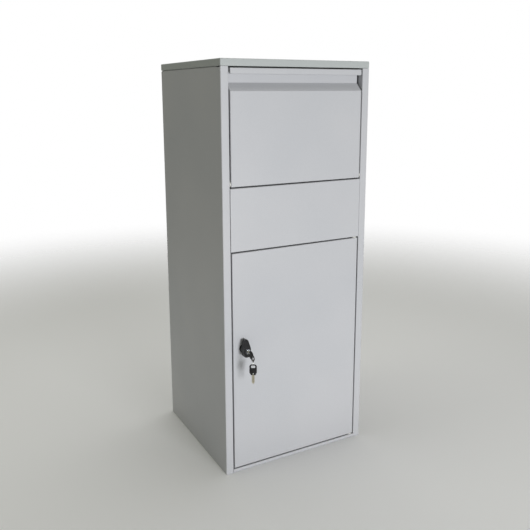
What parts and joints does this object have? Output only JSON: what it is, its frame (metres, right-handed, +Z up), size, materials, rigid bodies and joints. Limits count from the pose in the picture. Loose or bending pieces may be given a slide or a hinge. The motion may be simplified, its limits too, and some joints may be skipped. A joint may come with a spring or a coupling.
{
  "type": "parcel drop box",
  "caption": "Tall free-standing sheet-steel parcel drop box with a tilting hopper under the top cover, a fixed middle panel and a key-locked collection door.",
  "frame": {"origin": "centre of the base on the floor, under the middle of the cabinet", "axes": "+Z up, -Y out of the front with the hopper and the door, +X to the right of a person facing the front"},
  "size_m": [0.41, 0.4455, 1.02],
  "materials": {
    "powder_coat": "light grey powder coat, semi-matt with a fine orange peel",
    "zinc": "bright zinc plate",
    "chrome": "polished chrome plate",
    "black_plastic": "moulded black plastic",
    "rubber": "matt black rubber",
    "nylon": "natural nylon",
    "nickel_silver": "milled nickel silver key blank"
  },
  "bodies": {
    "cabinet": {"left_side_panel": "powder_coat", "right_side_panel": "powder_coat", "back_panel": "powder_coat", "top_cover": "powder_coat", "bottom_pan": "powder_coat", "middle_panel": "powder_coat", "rear_baffle": "powder_coat", "top_angle_left": "powder_coat", "top_angle_right": "powder_coat", "top_angle_back": "powder_coat", "door_pad_left": "rubber", "door_pad_right": "rubber", "hopper_bumper_left": "rubber", "hopper_bumper_right": "rubber", "door_hinge_pin_top": "zinc", "door_hinge_pin_bottom": "zinc", "hinge_washer_top": "nylon", "hinge_washer_bottom": "nylon", "hopper_pin_left": "zinc", "hopper_pin_right": "zinc", "hopper_washer_left": "nylon", "hopper_washer_right": "nylon"},
    "hopper": {"hopper_flap": "powder_coat", "hopper_tray": "powder_coat", "hopper_cheek_left": "powder_coat", "hopper_cheek_right": "powder_coat", "stop_stud_left": "rubber", "stop_stud_right": "rubber"},
    "door": {"door_panel": "powder_coat", "door_stiffener": "powder_coat", "lock_housing": "chrome", "lock_nut": "zinc"},
    "lock_core": {"lock_knob": "black_plastic", "lock_plug": "chrome", "lock_cam": "zinc", "cam_screw": "zinc"},
    "key": {"key_blade": "nickel_silver"},
    "key_head": {"key_head": "black_plastic"},
    "key_ring": {"key_ring": "zinc"},
    "spare_key": {"spare_key_blade": "nickel_silver", "spare_key_head": "black_plastic"}
  },
  "joints": [
    {"name": "hopper_tilt", "type": "hinge", "parent": "cabinet", "child": "hopper", "pos_m": [0, -0.1855, 0.7365], "axis": [1, 0, 0], "range_deg": [0, 48]},
    {"name": "door_swing", "type": "hinge", "parent": "cabinet", "child": "door", "pos_m": [0.175, -0.1855, 0.292], "axis": [0, 0, 1], "range_deg": [0, 105]},
    {"name": "lock_turn", "type": "hinge", "parent": "door", "child": "lock_core", "pos_m": [-0.155, -0.1925, 0.3305], "axis": [0, -1, 0], "range_deg": [0, 90]},
    {"name": "key_pull", "type": "slide", "parent": "lock_core", "child": "key", "axis": [0, -1, 0], "range_m": [0, 0.018]},
    {"name": "key_fold", "type": "hinge", "parent": "key", "child": "key_head", "pos_m": [-0.155, -0.2295, 0.3305], "axis": [-1, 0, 0], "range_deg": [0, 30]},
    {"name": "ring_swing", "type": "hinge", "parent": "key_head", "child": "key_ring", "pos_m": [-0.155, -0.24466, 0.32145], "axis": [-1, 0, 0], "range_deg": [-30, 0]},
    {"name": "spare_swing", "type": "hinge", "parent": "key_ring", "child": "spare_key", "pos_m": [-0.155, -0.24466, 0.30345], "axis": [0, -1, 0], "range_deg": [-90, 0]}
  ],
  "couplings": [
    {"joint": "ring_swing", "follows": "key_fold", "ratio": -1},
    {"joint": "spare_swing", "follows": "lock_turn", "ratio": -1}
  ]
}
